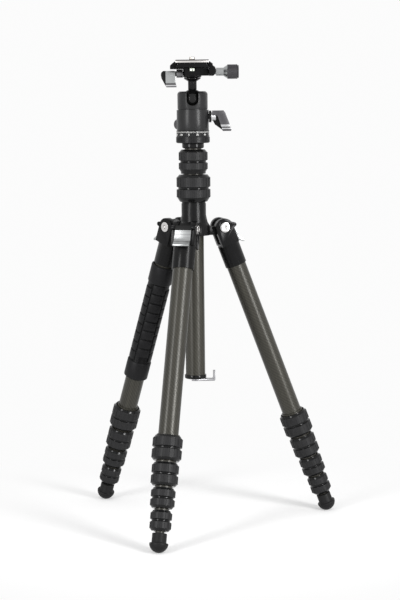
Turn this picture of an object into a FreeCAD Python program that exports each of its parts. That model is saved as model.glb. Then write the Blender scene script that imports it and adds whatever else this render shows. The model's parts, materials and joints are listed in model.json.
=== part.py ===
"""Travel tripod with ball head: parametric model, millimetres.

Z is up, the column axis is the Z axis and the floor is z = 0. The head faces -Y.
Leg pieces are drawn in a leg frame: origin at the hinge, -Z down the leg, +X away from the column.
"""
import FreeCAD
import Part
import Sketcher
import os
import re

# ---------------------------------------------------------------- driving sizes
DRIVING = {
    # stance of the legs
    "splay_angle": 20.8,
    "leg_yaw": -15.3,
    "pivot_radius": 32.4,
    # fits
    "sliding_fit": 0.1,
    "turning_gap": 0.2,
    "side_gap": 0.3,
    # nested leg tubes and their twist collars
    "tube_1_radius": 11.0,
    "tube_wall": 1.0,
    "shim_gap": 0.5,
    "shim_length": 20.0,
    "tube_1_top": 24.0,
    "section_travel": 165.0,
    "tube_overlap": 33.0,
    "collar_1_start": 232.0,
    "collar_1_length": 27.0,
    "collar_2_length": 25.0,
    "collar_3_length": 22.0,
    "collar_4_length": 22.0,
    "collar_gap": 2.2,
    "collar_wall": 5.25,
    "collar_chamfer": 1.2,
    "groove_width": 2.2,
    "groove_depth": 0.8,
    "ferrule_seat": 10.0,
    "ferrule_show": 1.5,
    "ferrule_wall": 1.5,
    "collet_length": 5.0,
    "collet_wall": 1.2,
    # foot
    "foot_stem_length": 10.4,
    "foot_stem_wall": 3.0,
    "foot_radius": 10.3,
    "foot_seat": 4.5,
    # leg top casting
    "ear_radius": 10.0,
    "ear_thickness": 6.5,
    "slot_depth": 18.0,
    "fork_length": 20.4,
    "socket_wall": 1.25,
    "socket_end": 46.0,
    # angle latch
    "latch_width": 18.4,
    "latch_thickness": 2.6,
    "latch_length": 17.6,
    "latch_lip_drop": 6.0,
    "latch_lip_reach": 4.6,
    "latch_pin_radius": 0.8,
    "latch_pin_drop": 1.0,
    "latch_knuckle_width": 13.0,
    "cheek_radius": 2.4,
    # grip on the left leg
    "grip_start": 48.0,
    "grip_end": 192.0,
    "grip_band": 22.0,
    "grip_wall": 2.5,
    "grip_band_wall": 3.0,
    # crown
    "lug_width": 13.6,
    "lug_radius": 8.5,
    "lug_inner_radius": 12.5,
    "lug_web_top": 1.0,
    "notch_radius": 1.4,
    "bolt_radius": 3.0,
    "bolt_head_radius": 5.5,
    "bolt_head_height": 2.75,
    "bolt_head_sink": 1.5,
    "bolt_hex": 2.7,
    "bolt_hex_depth": 1.6,
    "hub_radius": 18.0,
    "hub_shoulder": 2.0,
    "flare_height": 6.2,
    "flare_radius": 15.5,
    "neck_low": 14.2,
    "neck_radius": 13.8,
    "neck_height": 27.3,
    "thread_step": 0.5,
    "thread_height": 20.0,
    "clamp_sleeve_height": 8.8,
    # column
    "column_radius": 11.0,
    "column_travel": 150.0,
    "column_low": 168.0,
    "end_cap_thickness": 4.4,
    "end_cap_lip": 1.25,
    "end_plug_height": 6.0,
    "lock_collar_gap": 2.0,
    "lock_collar_height": 30.4,
    "lock_collar_radius": 19.0,
    "lock_collar_groove": 16.2,
    "lock_collar_low_radius": 15.5,
    "lock_collar_bevel": 4.6,
    "extension_gap": 1.0,
    "extension_collar_length": 27.0,
    "extension_seat": 12.6,
    "extension_bevel": 4.1,
    "extension_low_radius": 14.2,
    # bag hook
    "hook_pin_radius": 2.4,
    "hook_boss_radius": 4.5,
    "hook_width": 7.0,
    "hook_thickness": 2.6,
    "hook_reach": 22.4,
    "hook_rise": 9.0,
    "hook_gap": 0.4,
    # camera platform
    "platform_gap": 1.3,
    "platform_radius": 12.3,
    "platform_thickness": 5.9,
    "platform_seat": 3.8,
    "stud_radius": 4.7,
    "stud_head_radius": 6.5,
    "stud_head_height": 3.0,
    "stud_height": 9.0,
    # head base and housing
    "base_radius": 18.85,
    "base_band_radius": 18.4,
    "base_band_height": 6.7,
    "base_height": 14.0,
    "base_spigot_radius": 9.0,
    "base_spigot_height": 10.0,
    "housing_radius": 17.9,
    "housing_upper_radius": 16.9,
    "housing_seam_height": 23.3,
    "housing_seam_width": 0.7,
    "housing_seam_depth": 0.7,
    "ball_height": 33.9,
    "shoulder_above_ball": 6.3,
    "rim_above_ball": 9.3,
    "rim_radius": 14.0,
    "opening_above_ball": 7.3,
    "opening_radius": 10.8,
    "notch_half_width": 6.7,
    # ball, seat and stem
    "ball_radius": 12.0,
    "seat_low": 13.8,
    "seat_high": 7.4,
    "seat_travel": 0.4,
    "stem_radius": 4.85,
    "stem_height": 20.3,
    "cone_height": 3.9,
    "cone_radius": 9.4,
    "spigot_radius": 6.0,
    "spigot_height": 7.0,
    # ball lock lever
    "lock_axis_drop": 18.9,
    "lock_shaft_radius": 3.0,
    "lock_shaft_start": 4.0,
    "lock_ring_radius": 6.6,
    "lock_ring_width": 2.6,
    "lock_boss_radius": 5.0,
    "lock_boss_width": 5.0,
    "lock_wing_half": 5.5,
    "lock_web_half": 2.6,
    # pan lock knob
    "pan_lock_yaw": 132.0,
    "pan_lock_height": 6.3,
    "pan_lock_radius": 6.0,
    "pan_lock_shaft_radius": 2.5,
    "pan_lock_width": 8.6,
    # clamp
    "clamp_gap": 0.2,
    "post_radius": 10.2,
    "floor_height": 9.5,
    "floor_thickness": 1.3,
    "clamp_half_length": 19.0,
    "body_right": 18.5,
    "body_block_low": 2.0,
    "body_block_half": 12.0,
    "jaw_left": 24.5,
    "jaw_right": 26.2,
    "jaw_low": 1.8,
    "jaw_top": 17.6,
    "jaw_bevel": 1.8,
    "jaw_shoulder": 13.2,
    "lip_shoulder": 15.0,
    "lip_inset": 3.4,
    "lip_tip": 0.6,
    "jaw_shift": 3.0,
    "guide_pin_radius": 1.5,
    "guide_pin_spread": 9.0,
    "guide_pin_length": 9.0,
    "screw_axis_height": 6.2,
    "screw_radius": 3.0,
    "screw_tip": 7.6,
    "knob_shaft_radius": 4.5,
    "knob_shaft_length": 8.2,
    "knob_cone_length": 4.2,
    "knob_radius": 8.0,
    "knob_length": 12.9,
    "knob_edge": 0.8,
    "vial_radius": 1.7,
    "vial_half_length": 4.2,
    "vial_bracket_half": 8.4,
    "vial_sink": 0.6,
    "vial_height": 8.7,
    # turntable lever
    "pan_lever_height": 4.6,
    "pan_lever_shaft_radius": 2.0,
    "pan_lever_hub_radius": 4.6,
    "pan_lever_hub_end": 17.5,
    "pan_lever_half_width": 2.8,
    # camera plate and its screw
    "dovetail_half": 19.0,
    "dovetail_height": 2.8,
    "dovetail_gap": 0.2,
    "plate_half_length": 24.0,
    "plate_flange_half": 18.5,
    "plate_flange_low": 15.7,
    "plate_top": 19.5,
    "plate_edge": 0.5,
    "camera_screw_radius": 3.175,
    "camera_neck_radius": 2.5,
    "camera_screw_rise": 3.6,
    "camera_head_radius": 6.3,
    "camera_head_height": 3.2,
    "camera_slot_half": 5.0,
    "screw_slot_width": 1.2,
    "screw_slot_depth": 1.5,
}

# ---------------------------------------------------------------- sizes worked out from them
WORKED_OUT = {
    "tube_2_radius": "tube_1_radius - tube_wall - shim_gap",
    "tube_3_radius": "tube_2_radius - tube_wall - shim_gap",
    "tube_4_radius": "tube_3_radius - tube_wall - shim_gap",
    "tube_5_radius": "tube_4_radius - tube_wall - shim_gap",
    "collar_2_start": "collar_1_start + collar_1_length + collar_gap",
    "collar_3_start": "collar_2_start + collar_2_length + collar_gap",
    "collar_4_start": "collar_3_start + collar_3_length + collar_gap",
    "foot_start": "collar_4_start + collar_4_length + collar_gap",
    "tube_1_end": "collar_1_start + ferrule_seat",
    "tube_2_end": "collar_2_start + ferrule_seat",
    "tube_3_end": "collar_3_start + ferrule_seat",
    "tube_4_end": "collar_4_start + ferrule_seat",
    "tube_5_end": "foot_start + foot_seat",
    "tube_2_top": "tube_1_end - tube_overlap - section_travel",
    "tube_3_top": "tube_2_end - tube_overlap - section_travel",
    "tube_4_top": "tube_3_end - tube_overlap - section_travel",
    "tube_5_top": "tube_4_end - tube_overlap - section_travel",
    "foot_centre": "foot_start + foot_stem_length",
    "pivot_height": "foot_centre * cos(splay_angle * 1deg) + foot_radius",
    "slot_half": "lug_width / 2 + turning_gap",
    "fork_half": "slot_half + ear_thickness",
    "latch_inner": "ear_radius + side_gap",
    "latch_pin_reach": "latch_inner + latch_thickness / 2",
    "front_yaw": "leg_yaw - 90",
    "right_yaw": "leg_yaw + 30",
    "left_yaw": "leg_yaw - 210",
    "bore_radius": "column_radius + sliding_fit",
    "thread_radius": "neck_radius - thread_step",
    "crown_low": "pivot_height - lug_radius",
    "neck_top": "pivot_height + neck_height",
    "thread_top": "neck_top + thread_height",
    "lock_collar_low": "neck_top + lock_collar_gap",
    "lock_collar_top": "lock_collar_low + lock_collar_height",
    "extension_low": "lock_collar_top + extension_gap",
    "column_top": "extension_low + extension_seat",
    "column_2_radius": "column_radius - tube_wall - shim_gap",
    "column_2_low": "column_top - tube_overlap - column_travel",
    "platform_low": "extension_low + extension_collar_length + platform_gap",
    "platform_top": "platform_low + platform_thickness",
    "column_2_top": "platform_low + platform_seat",
    "base_top": "platform_top + base_height",
    "housing_low": "base_top + turning_gap",
    "ball_centre": "housing_low + ball_height",
    "housing_seam": "housing_low + housing_seam_height",
    "cavity_radius": "ball_radius + sliding_fit",
    "lock_axis": "ball_centre - lock_axis_drop",
    "pan_lock_axis": "housing_low + pan_lock_height",
    "stem_top": "ball_centre + stem_height",
    "cone_top": "stem_top + cone_height",
    "clamp_base": "cone_top + clamp_gap",
    "spigot_top": "clamp_base + spigot_height",
    "floor_low": "clamp_base + floor_height",
    "floor_top": "floor_low + floor_thickness",
    "screw_axis": "clamp_base + screw_axis_height",
    "pan_lever_axis": "clamp_base + pan_lever_height",
    "plate_low": "floor_top + dovetail_gap",
    "dovetail_top": "plate_low + dovetail_height",
    "dovetail_neck": "dovetail_half - dovetail_height",
    "flange_low": "clamp_base + plate_flange_low",
    "plate_face": "clamp_base + plate_top",
    "jaw_face": "clamp_base + jaw_top",
    "jaw_wall": "dovetail_half + dovetail_gap",
    "jaw_nose": "dovetail_neck + dovetail_gap * 2",
    "jaw_nose_low": "dovetail_top",
    "jaw_nose_top": "flange_low - dovetail_gap",
    "jaw_pocket_top": "plate_low + dovetail_gap",
    "knob_start": "jaw_right + side_gap",
    "knob_cone_start": "knob_start + knob_shaft_length",
    "knob_grip_start": "knob_cone_start + knob_cone_length",
    "knob_end": "knob_grip_start + knob_length",
}

doc = FreeCAD.newDocument("TravelTripod")
sheet = doc.addObject("Spreadsheet::Sheet", "Sizes")
ALL_SIZES = {**DRIVING, **{name: "=" + formula for name, formula in WORKED_OUT.items()}}
for row, (name, value) in enumerate(ALL_SIZES.items(), start=1):
    sheet.set(f"A{row}", name)
    sheet.set(f"B{row}", str(value))
    sheet.setAlias(f"B{row}", name)
doc.recompute()

PIECES = []


# ---------------------------------------------------------------- helpers
def bound(formula):
    """The formula with every size name pointed at its cell."""
    return re.sub(r"[a-z][a-z_0-9]*",
                  lambda word: "Sizes." + word.group() if word.group() in ALL_SIZES else word.group(),
                  str(formula))


def number(formula):
    return float(sheet.evalExpression(bound(formula)))


def place(shape, at, turn=("0", "0", "0")):
    """Tie a placement to the sheet: a point, and yaw, pitch and roll in degrees."""
    point = "; ".join(bound(part) for part in at)
    angles = "; ".join(bound(part) for part in turn)
    shape.setExpression("Placement", f"placement(vector({point}); rotation({angles}))")
    return shape


TURNS = {"X": ("0", "90", "0"), "Y": ("0", "0", "-90"), "Z": ("0", "0", "0")}


def outline_sketch(body, name, plane_role, outline):
    """A closed outline of straight runs, with both places of every corner tied to the sheet."""
    sketch = body.newObject("Sketcher::SketchObject", name)
    plane = [feature for feature in body.Origin.OriginFeatures if feature.Role == plane_role][0]
    sketch.AttachmentSupport = [(plane, "")]
    sketch.MapMode = "FlatFace"
    corners = [FreeCAD.Vector(number(across), number(up), 0) for across, up in outline]
    count = len(corners)
    for index in range(count):
        sketch.addGeometry(Part.LineSegment(corners[index], corners[(index + 1) % count]))
    for index in range(count):
        sketch.addConstraint(Sketcher.Constraint("Coincident", index, 2, (index + 1) % count, 1))
    for index, (across, up) in enumerate(outline):
        for kind, formula, value in (("DistanceX", across, corners[index].x),
                                     ("DistanceY", up, corners[index].y)):
            tie = sketch.addConstraint(Sketcher.Constraint(kind, -1, 1, index, 1, value))
            sketch.setExpression(f"Constraints[{tie}]", bound(formula))
    return sketch


def turned(name, outline):
    """A body turned about Z from an outline of (radius, height) corners."""
    body = doc.addObject("PartDesign::Body", name)
    sketch = outline_sketch(body, name + "_outline", "XZ_Plane", outline)
    turn = body.newObject("PartDesign::Revolution", name + "_turn")
    turn.Profile = sketch
    turn.ReferenceAxis = (sketch, ["V_Axis"])
    turn.Angle = 360
    return body


def slab(name, outline, half_width):
    """A body padded both ways along Y from an outline of (x, z) corners."""
    body = doc.addObject("PartDesign::Body", name)
    sketch = outline_sketch(body, name + "_outline", "XZ_Plane", outline)
    pad = body.newObject("PartDesign::Pad", name + "_pad")
    pad.Profile = sketch
    pad.Midplane = True
    pad.setExpression("Length", bound(f"({half_width}) * 2"))
    return body


def ring(name, inner, outer, low, high):
    return turned(name, [(inner, low), (outer, low), (outer, high), (inner, high)])


def rod(name, radius, length, at, axis="Z"):
    shape = doc.addObject("Part::Cylinder", name)
    shape.setExpression("Radius", bound(radius))
    shape.setExpression("Height", bound(length))
    return place(shape, at, TURNS[axis])


def block(name, low, high):
    """A box between two corners."""
    shape = doc.addObject("Part::Box", name)
    for side, start, end in zip(("Length", "Width", "Height"), low, high):
        shape.setExpression(side, bound(f"({end}) - ({start})"))
    return place(shape, low)


def ball(name, radius, at):
    shape = doc.addObject("Part::Sphere", name)
    shape.setExpression("Radius", bound(radius))
    return place(shape, at)


def hexagon(name, radius, length, at, turn):
    shape = doc.addObject("Part::Prism", name)
    shape.Polygon = 6
    shape.setExpression("Circumradius", bound(radius))
    shape.setExpression("Height", bound(length))
    return place(shape, at, turn)


def fused(name, *shapes):
    joined = doc.addObject("Part::MultiFuse", name)
    joined.Shapes = list(shapes)
    joined.Refine = True
    return joined


def cut(name, base, *tools):
    """The base without its tools."""
    result = doc.addObject("Part::Cut", name)
    result.Base = base
    result.Tool = tools[0] if len(tools) == 1 else fused(name + "_tools", *tools)
    result.Refine = True
    return result


def together(name, *shapes):
    """Separate solids that belong to one sub-part."""
    group = doc.addObject("Part::Compound", name)
    group.Links = list(shapes)
    return group


def piece(label, shape, at=None, turn=("0", "0", "0")):
    """Name a finished sub-part, put it in its place and list it for export."""
    shape.Label = label
    if at is not None:
        place(shape, at, turn)
    PIECES.append(shape)


# ---------------------------------------------------------------- pieces that legs and column share
def tube_with_ends(name, radius, top, end, ferrule_start=None, inner_radius=None, outer_bore=None):
    """A tube, its threaded ferrule and collet at the open end, and its shim inside the next tube."""
    parts = [ring(name + "_tube", f"{radius} - tube_wall", radius, f"-({end})", f"-({top})")]
    if ferrule_start:
        parts.append(ring(name + "_ferrule", radius, f"{radius} + ferrule_wall",
                          f"-({end})", f"-({ferrule_start})"))
        parts.append(ring(name + "_collet", f"{inner_radius} + sliding_fit",
                          f"{inner_radius} + sliding_fit + collet_wall",
                          f"-({end} + collet_length)", f"-({end})"))
    if outer_bore:
        parts.append(ring(name + "_shim", radius, f"{outer_bore} - sliding_fit",
                          f"-({top} + shim_length)", f"-({top})"))
    return together(name + "_set", *parts)


def twist_collar(name, start, length, outer_radius, thread_radius, tube_radius, thread_depth, bevel, lead):
    """A twist collar: grooved outside, bored for the ferrule, with a lip round the inner tube."""
    end = f"({start} + {length})"
    middle = f"({start} + {length} / 2)"
    lip = f"({start} + {thread_depth})"
    floor = f"{outer_radius} - groove_depth"
    return turned(name, [
        (thread_radius, f"-({start})"),
        (lead, f"-({start})"),
        (outer_radius, f"-({start} + {bevel})"),
        (outer_radius, f"-({middle} - groove_width / 2)"),
        (floor, f"-({middle} - groove_width / 2)"),
        (floor, f"-({middle} + groove_width / 2)"),
        (outer_radius, f"-({middle} + groove_width / 2)"),
        (outer_radius, f"-({end} - collar_chamfer)"),
        (f"{outer_radius} - collar_chamfer", f"-{end}"),
        (tube_radius, f"-{end}"),
        (tube_radius, f"-{lip}"),
        (thread_radius, f"-{lip}"),
    ])


# ---------------------------------------------------------------- one leg
def leg_top(name):
    """The fork that straddles the crown lug, with the socket for the first tube."""
    fork = fused(
        name + "_solid",
        rod(name + "_ears", "ear_radius", "fork_half * 2", ("0", "-fork_half", "0"), "Y"),
        block(name + "_fork", ("-ear_radius", "-fork_half", "-fork_length"),
              ("ear_radius", "fork_half", "0")),
        rod(name + "_cheeks", "cheek_radius", "fork_half * 2",
            ("latch_pin_reach", "-fork_half", "-latch_pin_drop"), "Y"),
        block(name + "_cheek_roots", ("0", "-fork_half", "-latch_pin_drop - cheek_radius"),
              ("latch_pin_reach", "fork_half", "0")),
        rod(name + "_socket", "tube_1_radius + socket_wall", "socket_end - fork_length",
            ("0", "0", "-socket_end")),
    )
    recess_half = "(latch_width / 2 + side_gap)"
    reach = "latch_pin_reach + cheek_radius"
    head_hole = "bolt_head_radius + sliding_fit"
    head_depth = "bolt_head_sink + sliding_fit"
    return cut(
        name + "_machined", fork,
        block(name + "_slot", ("-ear_radius - 1", "-slot_half", "-slot_depth"),
              (f"{reach} + 1", "slot_half", "ear_radius + 1")),
        block(name + "_recess", ("ear_radius", f"-{recess_half}", "-fork_length"),
              (f"{reach} + 1", recess_half, "ear_radius")),
        rod(name + "_bolt_hole", "bolt_radius + sliding_fit", "fork_half * 2 + 2",
            ("0", "-fork_half - 1", "0"), "Y"),
        rod(name + "_head_hole", head_hole, f"{head_depth} + 1",
            ("0", f"fork_half - ({head_depth})", "0"), "Y"),
        rod(name + "_nut_hole", head_hole, f"{head_depth} + 1", ("0", "-fork_half - 1", "0"), "Y"),
        rod(name + "_pin_hole", "latch_pin_radius + sliding_fit", "fork_half * 2 + 2",
            ("latch_pin_reach", "-fork_half - 1", "-latch_pin_drop"), "Y"),
        rod(name + "_bore", "tube_1_radius", "socket_end - tube_1_top + 1",
            ("0", "0", "-socket_end - 1")),
    )


def latch(name):
    """The sprung angle latch: a plate with a flared lip, its tooth between the ears and its pin."""
    outer = "(latch_inner + latch_thickness)"
    lip_low = "(latch_length + latch_lip_drop)"
    plate = slab(name + "_plate", [
        ("latch_inner", "-latch_pin_drop"),
        ("latch_inner + side_gap * 2", "latch_pin_drop"),
        (outer, "latch_pin_drop"),
        (outer, "-(latch_length - 2)"),
        (f"{outer} + latch_lip_reach", f"-({lip_low} - 1.5)"),
        (f"{outer} + latch_lip_reach - 0.6", f"-{lip_low}"),
        (f"{outer} + latch_lip_reach - 2.4", f"-({lip_low} - 0.3)"),
        ("latch_inner", "-latch_length"),
    ], "latch_width / 2")
    tooth = block(name + "_tooth", ("lug_radius + side_gap * 2", "-latch_knuckle_width / 2",
                                    "-latch_pin_drop - 2.5"),
                  ("latch_inner + 0.5", "latch_knuckle_width / 2", "-latch_pin_drop + 1"))
    pin_at = ("latch_pin_reach", "-fork_half + 0.5", "-latch_pin_drop")
    pin_length = "fork_half * 2 - 1"
    bored = cut(name + "_bored", fused(name + "_solid", plate, tooth),
                rod(name + "_pin_hole", "latch_pin_radius", pin_length, pin_at, "Y"))
    return together(name + "_set", bored, rod(name + "_pin", "latch_pin_radius", pin_length, pin_at, "Y"))


def foot(name):
    """Rubber foot: a stem round the last tube and a round tread."""
    bulb = doc.addObject("Part::Sphere", name + "_tread")
    bulb.setExpression("Radius", bound("foot_radius"))
    bulb.Angle1 = -90
    bulb.Angle2 = 0
    place(bulb, ("0", "0", "-foot_centre"))
    stem = rod(name + "_stem", "tube_5_radius + foot_stem_wall", "foot_stem_length",
               ("0", "0", "-foot_centre"))
    return cut(name + "_bored", fused(name + "_solid", bulb, stem),
               rod(name + "_bore", "tube_5_radius", "foot_seat + 1", ("0", "0", "-tube_5_end")))


def grip(name):
    """The rubber sleeve with a plain band at each end."""
    sleeve = "tube_1_radius + grip_wall"
    band = "tube_1_radius + grip_band_wall"
    return turned(name, [
        ("tube_1_radius", "-grip_end"),
        (band, "-grip_end"),
        (band, "-(grip_end - grip_band)"),
        (sleeve, "-(grip_end - grip_band)"),
        (sleeve, "-(grip_start + grip_band)"),
        (band, "-(grip_start + grip_band)"),
        (band, "-grip_start"),
        ("tube_1_radius", "-grip_start"),
    ])


def leg(side):
    """All pieces of one leg, placed on its hinge."""
    yaw = f"{side}_yaw"
    hinge = (f"pivot_radius * cos({yaw} * 1deg)", f"pivot_radius * sin({yaw} * 1deg)", "pivot_height")
    lean = (yaw, "-splay_angle", "0")
    name = side + "_leg"
    piece(name + "_top", leg_top(name + "_casting"), hinge, lean)
    piece(name + "_latch", latch(name + "_catch"), hinge, lean)
    for count in range(1, 6):
        section = tube_with_ends(
            f"{name}_section_{count}", f"tube_{count}_radius", f"tube_{count}_top", f"tube_{count}_end",
            f"(collar_{count}_start - ferrule_show)" if count < 5 else None,
            f"tube_{count + 1}_radius" if count < 5 else None,
            f"tube_{count - 1}_radius - tube_wall" if count > 1 else None)
        piece(f"{name}_tube_{count}", section, hinge, lean)
    for count in range(1, 5):
        nut = twist_collar(
            f"{name}_nut_{count}", f"collar_{count}_start", f"collar_{count}_length",
            f"(tube_{count}_radius + collar_wall)",
            f"(tube_{count}_radius + ferrule_wall + sliding_fit)",
            f"(tube_{count + 1}_radius + sliding_fit)",
            "(ferrule_seat + collet_length + turning_gap)", "collar_chamfer",
            f"(tube_{count}_radius + collar_wall - collar_chamfer)")
        piece(f"{name}_collar_{count}", nut, hinge, lean)
    piece(name + "_foot", foot(name + "_tip"), hinge, lean)
    if side == "left":
        piece(name + "_grip", grip(name + "_sleeve"), hinge, lean)


# ---------------------------------------------------------------- crown
def crown():
    """The centre casting: bored hub, threaded neck and three lugs with latch notches."""
    hub = turned("crown_hub", [
        ("bore_radius", "crown_low"),
        ("hub_radius", "crown_low"),
        ("hub_radius", "pivot_height + hub_shoulder"),
        ("flare_radius", "pivot_height + flare_height"),
        ("neck_radius", "pivot_height + neck_low"),
        ("neck_radius", "neck_top"),
        ("thread_radius", "neck_top"),
        ("thread_radius", "thread_top"),
        ("bore_radius", "thread_top"),
    ])
    lugs = []
    for side in ("front", "right", "left"):
        name = f"crown_{side}_lug"
        solid = fused(
            name + "_solid",
            block(name + "_web", ("lug_inner_radius", "-lug_width / 2", "-lug_radius"),
                  ("pivot_radius", "lug_width / 2", "lug_web_top")),
            rod(name + "_boss", "lug_radius", "lug_width", ("pivot_radius", "-lug_width / 2", "0"), "Y"))
        tools = [rod(name + "_hole", "bolt_radius", "lug_width + 2",
                     ("pivot_radius", "-lug_width / 2 - 1", "0"), "Y")]
        for stop, angle in enumerate((-10, 30, 65)):
            tools.append(rod(
                f"{name}_notch_{stop}", "notch_radius", "lug_width + 2",
                (f"pivot_radius + (lug_radius + notch_radius / 2) * cos({angle} * 1deg)",
                 "-lug_width / 2 - 1",
                 f"(lug_radius + notch_radius / 2) * sin({angle} * 1deg)"), "Y"))
        lug = cut(name, solid, *tools)
        lugs.append(place(lug, ("0", "0", "pivot_height"), (f"{side}_yaw", "0", "0")))
    piece("crown", fused("crown_casting", hub, *lugs))


def pivot_bolts():
    """A hex bolt and its cap nut through each leg hinge."""
    solids = []
    for side in ("front", "right", "left"):
        name = f"{side}_pivot"
        yaw = f"{side}_yaw"
        head_low = "(fork_half - bolt_head_sink)"
        shaft_end = f"({head_low} + 1.2)"
        bolt = cut(
            name + "_bolt",
            fused(name + "_bolt_solid",
                  rod(name + "_head", "bolt_head_radius", "bolt_head_height", ("0", head_low, "0"), "Y"),
                  rod(name + "_shaft", "bolt_radius", f"{head_low} + {shaft_end}",
                      ("0", f"-{shaft_end}", "0"), "Y")),
            hexagon(name + "_bolt_hex", "bolt_hex", "bolt_hex_depth + 1",
                    ("0", f"{head_low} + bolt_head_height - bolt_hex_depth", "0"), TURNS["Y"]))
        nut = cut(
            name + "_nut",
            rod(name + "_nut_solid", "bolt_head_radius", "bolt_head_height",
                ("0", f"-({head_low} + bolt_head_height)", "0"), "Y"),
            rod(name + "_nut_thread", "bolt_radius", "2.2",
                ("0", f"-{shaft_end}", "0"), "Y"),
            hexagon(name + "_nut_hex", "bolt_hex", "1.3",
                    ("0", f"-({head_low} + bolt_head_height + 0.2)", "0"), TURNS["Y"]))
        hinge = (f"pivot_radius * cos({yaw} * 1deg)", f"pivot_radius * sin({yaw} * 1deg)",
                 "pivot_height")
        solids.append(place(bolt, hinge, (yaw, "0", "0")))
        solids.append(place(nut, hinge, (yaw, "0", "0")))
    piece("leg_pivot_bolts", together("pivot_bolt_group", *solids))


# ---------------------------------------------------------------- column
def column():
    piece("column_clamp_sleeve",
          ring("clamp_ring", "bore_radius", "thread_radius - turning_gap", "thread_top",
               "thread_top + clamp_sleeve_height"))
    groove_middle = "(lock_collar_low + lock_collar_groove)"
    lip = "(thread_top + clamp_sleeve_height + turning_gap)"
    piece("column_lock_collar", turned("big_collar", [
        ("thread_radius + sliding_fit", "lock_collar_low"),
        ("lock_collar_low_radius", "lock_collar_low"),
        ("lock_collar_radius", "lock_collar_low + lock_collar_bevel"),
        ("lock_collar_radius", f"{groove_middle} - groove_width / 2"),
        ("lock_collar_radius - groove_depth", f"{groove_middle} - groove_width / 2"),
        ("lock_collar_radius - groove_depth", f"{groove_middle} + groove_width / 2"),
        ("lock_collar_radius", f"{groove_middle} + groove_width / 2"),
        ("lock_collar_radius", "lock_collar_top - collar_chamfer"),
        ("lock_collar_radius - collar_chamfer", "lock_collar_top"),
        ("bore_radius", "lock_collar_top"),
        ("bore_radius", lip),
        ("thread_radius + sliding_fit", lip),
    ]))
    # the lower tube is drawn downwards from the top of its ferrule and turned over into place
    length = "column_top - column_low"
    piece("column_tube_1",
          tube_with_ends("lower_column", "column_radius", f"({length}) * -1", "0",
                         "-extension_seat", "column_2_radius"),
          ("0", "0", "column_top"), ("0", "0", "180"))
    piece("column_extension_collar",
          twist_collar("extension_nut", "0", "extension_collar_length",
                       "(column_radius + collar_wall)",
                       "(column_radius + ferrule_wall + sliding_fit)",
                       "(column_2_radius + sliding_fit)",
                       "(extension_seat + collet_length + turning_gap)",
                       "extension_bevel", "extension_low_radius"),
          ("0", "0", "extension_low"), ("0", "0", "180"))
    piece("column_tube_2", together(
        "upper_column",
        ring("upper_column_tube", "column_2_radius - tube_wall", "column_2_radius",
             "column_2_low", "column_2_top"),
        ring("upper_column_shim", "column_2_radius", "column_radius - tube_wall - sliding_fit",
             "column_2_low", "column_2_low + shim_length")))
    piece("column_end_cap", turned("column_plug", [
        ("hook_pin_radius + sliding_fit", "column_low - end_cap_thickness"),
        ("column_radius + end_cap_lip - 0.8", "column_low - end_cap_thickness"),
        ("column_radius + end_cap_lip", "column_low - end_cap_thickness + 0.8"),
        ("column_radius + end_cap_lip", "column_low"),
        ("column_radius - tube_wall", "column_low"),
        ("column_radius - tube_wall", "column_low + end_plug_height"),
        ("hook_pin_radius + sliding_fit", "column_low + end_plug_height"),
    ]))
    stud_low = "(column_2_top - stud_head_height)"
    platform = turned("platform_disc", [
        ("stud_radius", "column_2_top"),
        ("column_2_radius", "column_2_top"),
        ("column_2_radius", "platform_low"),
        ("platform_radius - 1", "platform_low"),
        ("platform_radius", "platform_low + 1"),
        ("platform_radius", "platform_top"),
        ("stud_radius", "platform_top"),
    ])
    stud = turned("platform_stud", [
        ("0", stud_low),
        ("stud_head_radius", stud_low),
        ("stud_head_radius", "column_2_top"),
        ("stud_radius", "column_2_top"),
        ("stud_radius", "platform_top + stud_height - 1"),
        ("stud_radius - 1", "platform_top + stud_height"),
        ("0", "platform_top + stud_height"),
    ])
    piece("column_platform", together("platform_set", platform, stud))


def bag_hook():
    """The bent strip under the end cap, on a pin that turns in the cap."""
    low = "(column_low - end_cap_thickness - hook_gap - hook_thickness)"
    top = "(column_low - end_cap_thickness - hook_gap)"
    strip = slab("hook_strip", [
        ("-hook_boss_radius", low),
        ("hook_reach - 1", low),
        ("hook_reach", f"{low} + 1"),
        ("hook_reach", f"{low} + hook_rise + hook_thickness"),
        ("hook_reach - hook_thickness", f"{low} + hook_rise + hook_thickness"),
        ("hook_reach - hook_thickness", f"{top} + 1"),
        ("hook_reach - hook_thickness - 1", top),
        ("-hook_boss_radius", top),
    ], "hook_width / 2")
    head = "column_low + end_plug_height + hook_gap"
    pin = turned("hook_pin", [
        ("0", low),
        ("hook_pin_radius", low),
        ("hook_pin_radius", head),
        ("hook_boss_radius", head),
        ("hook_boss_radius", f"{head} + 2"),
        ("0", f"{head} + 2"),
    ])
    piece("bag_hook", fused("hook", strip, pin,
                            rod("hook_boss", "hook_boss_radius", "hook_thickness", ("0", "0", low))))


# ---------------------------------------------------------------- ball head
def head_base():
    band_top = "(platform_top + base_band_height)"
    thread_top = "(platform_top + stud_height)"
    piece("head_base", turned("base_disc", [
        ("stud_radius", "platform_top"),
        ("base_radius - 0.8", "platform_top"),
        ("base_radius", "platform_top + 0.8"),
        ("base_radius", band_top),
        ("base_band_radius", f"{band_top} + 0.4"),
        ("base_band_radius", "base_top"),
        ("base_spigot_radius", "base_top"),
        ("base_spigot_radius", "base_top + base_spigot_height"),
        ("0", "base_top + base_spigot_height"),
        ("0", thread_top),
        ("stud_radius - 1", thread_top),
        ("stud_radius", f"{thread_top} - 1"),
    ]))


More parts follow.
